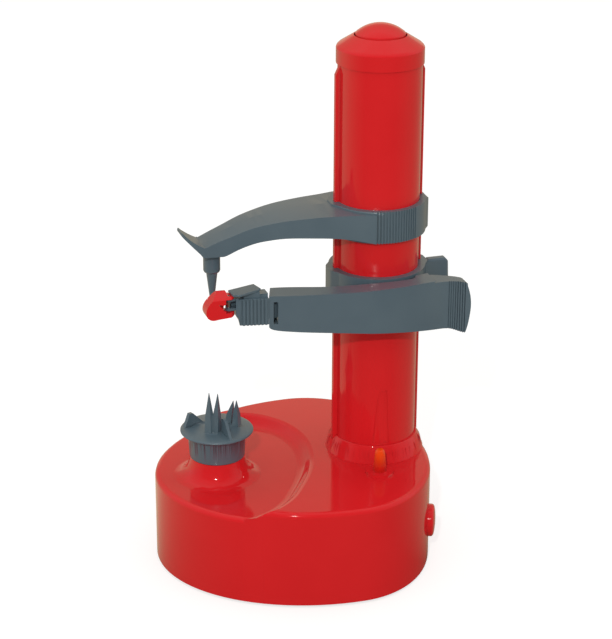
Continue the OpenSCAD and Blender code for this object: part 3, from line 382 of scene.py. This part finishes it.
def drift_dish_step(bm):
    """Moves the step round the dish inwards at the front and outwards at the back."""
    for vert in bm.verts:
        x, y = vert.co.x - DISH_MIDDLE[0], vert.co.y - DISH_MIDDLE[1]
        radius, angle = math.hypot(x, y), math.degrees(math.atan2(y, x))
        if vert.co.z >= STEP_LOW and STEP_RADII[0] < radius < STEP_RADII[1]:
            grow = 1 + dish_drift_at(angle) / radius
            vert.co.x, vert.co.y = DISH_MIDDLE[0] + x * grow, DISH_MIDDLE[1] + y * grow


moulding("base_shell", "base_housing", red_gloss,
         form=drift_dish_step, axis=HOLDER_AXIS, reach=HUB_REACH)


# ---------------------------------------------------------------- bottom plate and battery door
# Flat black plates under the housing, with the tray for the cells and the
# posts for the gearbox. The plate is screwed on, the door clips into it.
def dress(node, paint):
    """Puts a finish on a CAD node that keeps its own mesh."""
    slots = nodes[node].data.materials
    if not slots:
        slots.append(paint)
    for index in range(len(slots)):
        slots[index] = paint


black_textured = finish("black_textured", (0.016, 0.016, 0.018), (0.026, 0.026, 0.028),
                        0.48, 0.62, 900, 0.00004)
dress("bottom_plate", black_textured)
moulding("battery_door", "battery_door_panel", black_textured, edge=0.0003)

# ---------------------------------------------------------------- cells and contacts
# Four AA cells lie side by side in the tray, in plain dark film, between
# nickel-plated contacts with springs, set in the tray's end walls.
cell_film = finish("cell_film", (0.030, 0.032, 0.036), (0.045, 0.047, 0.052),
                   0.16, 0.24, 500, 0.00001)
nickel = finish("nickel", (0.60, 0.60, 0.58), (0.68, 0.68, 0.66),
                0.18, 0.30, 1500, 0.00001, patch=90, metal=1.0)
dress("battery_cells", cell_film)
dress("battery_contacts", nickel)

# ---------------------------------------------------------------- rubber feet
# Four soft black rubber feet, pushed with their stems into holes in the
# bottom plate, keep the peeler from sliding.
foot_rubber = finish("foot_rubber", (0.010, 0.010, 0.010), (0.020, 0.020, 0.020),
                     0.70, 0.85, 1300, 0.00006)
moulding("rubber_feet", "rubber_feet_set", foot_rubber, edge=0.0003)

# ---------------------------------------------------------------- screws
# Small zinc-plated screws: four hold the bottom plate, four the gearbox, two
# the foot of the column and two the half nut.
zinc = finish("zinc", (0.50, 0.51, 0.53), (0.60, 0.61, 0.62),
              0.24, 0.38, 1600, 0.00001, patch=120, metal=1.0)
for node in ("base_screws", "gearbox_screws", "column_screws", "nut_screws"):
    dress(node, zinc)

# ---------------------------------------------------------------- power button
# A domed round push button, moulded in the same glossy red as the housing. A
# coil spring pushes it out and its stem reaches a switch on the bottom plate.
moulding("power_button", "power_push_button", red_gloss, smooth=32.0)
spring_steel = finish("spring_steel", (0.46, 0.46, 0.46), (0.56, 0.56, 0.56),
                      0.22, 0.34, 1800, 0.000008, patch=150, metal=1.0)
dress("button_spring", spring_steel)
dress("power_switch", black_textured)

# ---------------------------------------------------------------- stop pin
# A clear red pin in a raised ring of the deck. Its colour turns brighter and
# more orange towards its tip, a painted glow of light shining through the
# clear plastic. The blade arm presses it at the end of its way down, against
# a coil spring that stands round a small switch.
PIN_GLOW_FROM_Z, PIN_GLOW_FULL_Z = 0.060, 0.071

clear_red = finish("clear_red", (0.66, 0.014, 0.010), (0.95, 0.080, 0.006),
                   0.05, 0.09, 220, 0.000008, clear=0.25)
# The tint follows height here, not patches: a painted glow, brighter and more orange towards
# the pin's tip.
tree = clear_red.node_tree
place = tree.nodes.new("ShaderNodeTexCoord")
height = tree.nodes.new("ShaderNodeSeparateXYZ")
painted_tip_glow = tree.nodes.new("ShaderNodeMapRange")
painted_tip_glow.interpolation_type = "SMOOTHSTEP"
painted_tip_glow.inputs["From Min"].default_value = PIN_GLOW_FROM_Z
painted_tip_glow.inputs["From Max"].default_value = PIN_GLOW_FULL_Z
tree.links.new(place.outputs["Object"], height.inputs[0])
tree.links.new(height.outputs["Z"], painted_tip_glow.inputs["Value"])
tree.links.new(painted_tip_glow.outputs["Result"], tree.nodes["tint"].inputs["Factor"])
moulding("stop_pin", "stop_button_pin", clear_red, edge=0.0003)

pin_spring = moulding("stop_spring", "pin_return_spring", spring_steel)
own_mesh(pin_spring)
dress("limit_switch", black_textured)

# ---------------------------------------------------------------- motor
# A small direct-current motor in a pressed steel can stands in a cup of the
# bottom plate, under a bent steel bracket. Its brass pinion drives the gears.
can_steel = finish("can_steel", (0.42, 0.42, 0.41), (0.50, 0.50, 0.49),
                   0.26, 0.36, 1200, 0.00001, patch=60, metal=1.0)
brass = finish("brass", (0.66, 0.44, 0.17), (0.74, 0.52, 0.24),
               0.22, 0.34, 1500, 0.00001, patch=90, metal=1.0)
dress("motor", can_steel)
dress("motor_bracket", zinc)
dress("motor_shaft", zinc)
dress("motor_pinion", brass)

# ---------------------------------------------------------------- gearbox
# Two flat plates of natural white acetal, screwed together on pillars, hold
# the moulded acetal gears on steel axles and in sintered bronze bushes.
white_acetal = finish("white_acetal", (0.70, 0.70, 0.66), (0.78, 0.78, 0.74),
                      0.34, 0.46, 700, 0.00002)
bronze = finish("bronze", (0.58, 0.38, 0.18), (0.66, 0.46, 0.24),
                0.36, 0.50, 2600, 0.00002, patch=200, metal=1.0)
for node in ("gearbox_plate", "gearbox_cover", "reduction_gear", "idler_gear", "holder_gear",
             "screw_gear", "screw_top_bearing"):
    dress(node, white_acetal)
for node in ("gear_axles", "holder_spindle", "lead_screw"):
    dress(node, zinc)
for node in ("spindle_bush", "shaft_bushes", "pin_bush"):
    dress(node, bronze)
dress("spindle_seal", foot_rubber)

# ---------------------------------------------------------------- food holder
# A grey satin moulding, pressed on the spindle: a cup that covers the hub, a
# low domed disc, and the spikes and fins that grip the food.
grey_satin = finish("grey_satin", (0.074, 0.114, 0.146), (0.086, 0.130, 0.162),
                    0.30, 0.40, 1100, 0.00002, gloss=0.8)
moulding("food_holder", "spiked_food_holder", grey_satin,
         edge=0.00035, corner=50.0, axis=HOLDER_AXIS)

# ---------------------------------------------------------------- column
# The column is moulded in two glossy red halves, joined at the side rails. Its
# foot goes through the deck, and a loose red collar covers the gap there.
COLUMN_AXIS = COLUMN_PLACE[:2]
DECK_Z = 0.0575
COLLAR_RIM, RIM_ABOVE, RIM_DROP = 0.0272, 0.002, 0.0027
COLLAR_BORE, BORE_ABOVE, BORE_SHARE = 0.0232, 0.009, 0.985


def flare_collar(bm):
    """Lets the collar run out thin on the deck and close on the tube at its top."""
    for vert in bm.verts:
        x, y, z = vert.co.x - COLUMN_AXIS[0], vert.co.y, vert.co.z - DECK_Z
        radius = math.hypot(x, y)
        if radius > COLLAR_RIM and z > RIM_ABOVE:
            vert.co.z -= RIM_DROP
        if radius < COLLAR_BORE and z > BORE_ABOVE:
            vert.co.x, vert.co.y = COLUMN_AXIS[0] + x * BORE_SHARE, y * BORE_SHARE


moulding("column_front", "column_front_half", red_gloss, axis=COLUMN_AXIS)
moulding("column_back", "column_back_half", red_gloss, axis=COLUMN_AXIS)
moulding("column_foot", "column_foot_collar", red_gloss,
         smooth=50.0, form=flare_collar, axis=COLUMN_AXIS)

# ---------------------------------------------------------------- column cap
# A glossy red cap fits over the top of the column, and a separate domed disc
# snaps into its middle.
moulding("column_cap", "column_top_cap", red_gloss, smooth=30.0, axis=COLUMN_AXIS)
moulding("cap_disc", "cap_dome", red_gloss, edge=0.0003, axis=COLUMN_AXIS)

# ---------------------------------------------------------------- upper arm
# One grey satin moulding: a ribbed collar that slides on the column, a bar out
# to the food holder's axis and a lip for the finger. A leaf spring brakes it.
SLIDER_REACH = 0.028

moulding("upper_arm", "upper_arm_moulding", grey_satin,
         edge=0.0006, corner=45.0, steps=3, axis=COLUMN_AXIS, reach=SLIDER_REACH)
dress("arm_brake_spring", spring_steel)

# ---------------------------------------------------------------- top pin
# A pointed grey pin that turns freely in a bush under the upper arm, kept by a
# steel clip, and presses on the top of the food.
moulding("top_pin", "top_food_pin", grey_satin, smooth=35.0)
dress("pin_clip", spring_steel)

# ---------------------------------------------------------------- carriage
# A grey ring that the screw moves along the column, with a block for the
# finger and a lug for the arm. The half nut reaches through the column's slot.
moulding("carriage", "carriage_ring", grey_satin,
         edge=0.0005, corner=45.0, axis=COLUMN_AXIS, reach=SLIDER_REACH)
dress("half_nut", white_acetal)
dress("arm_pivot_pin", zinc)
dress("arm_spring", spring_steel)

# ---------------------------------------------------------------- blade arm
# A grey channel moulding that swings on the carriage's pin. Its right end is a
# ribbed grip, its left end takes the cartridge, and a cover closes its back.
moulding("blade_arm", "blade_arm_moulding", grey_satin,
         edge=0.0006, corner=45.0, steps=3)
moulding("arm_back_cover", "arm_back_panel", grey_satin, edge=0.0003)

# ---------------------------------------------------------------- blade cartridge
# A ribbed grey block that plugs into the arm, with two fork tabs for the pin
# of the blade head and a flat guard plate glued on top.
BLADE_TOP = 0.1683
BLOCK_RIGHT = (0.0209, 0.0213)
BLOCK_TO_ARM = 0.0005
CORNER_LEFT, CORNER_TOP = 0.0046, 0.0106
CORNER_WIDTH, CORNER_HEIGHT, CORNER_NEAR = 0.0024, 0.0043, 0.0002
SIDE_DROP, FOOT_DROP = 0.0040, 0.0003


def square_block(bm):
    """Brings the block's right face up to the arm and squares its lower left corner."""
    for vert in bm.verts:
        x, z = vert.co.x - HOLDER_AXIS[0], vert.co.z - BLADE_TOP
        if BLOCK_RIGHT[0] < x < BLOCK_RIGHT[1]:
            vert.co.x += BLOCK_TO_ARM
        along = (x - CORNER_LEFT) / CORNER_WIDTH
        if 0 <= along <= 1 and abs(z + CORNER_TOP + along * CORNER_HEIGHT) < CORNER_NEAR:
            down, across = 2 * min(along, 0.5), 2 * max(along - 0.5, 0)
            vert.co.x = HOLDER_AXIS[0] + CORNER_LEFT + across * CORNER_WIDTH
            vert.co.z = BLADE_TOP - CORNER_TOP - down * SIDE_DROP - across * FOOT_DROP


moulding("blade_cartridge", "cartridge_block", grey_satin,
         edge=0.0003, form=square_block)
moulding("swivel_plate", "head_guard_plate", grey_satin, edge=0.0002)

# ---------------------------------------------------------------- blade head
# A red moulding with a round lobe and two prongs, which swivels on a steel pin
# and holds the curved stainless blade behind its window.
blade_steel = finish("blade_steel", (0.70, 0.70, 0.70), (0.78, 0.78, 0.78),
                     0.10, 0.18, 1800, 0.000006, patch=150, metal=1.0)
moulding("blade_holder", "blade_head_frame", red_gloss,
         edge=0.0012, corner=45.0, steps=3)
dress("blade", blade_steel)
dress("swivel_pin", zinc)
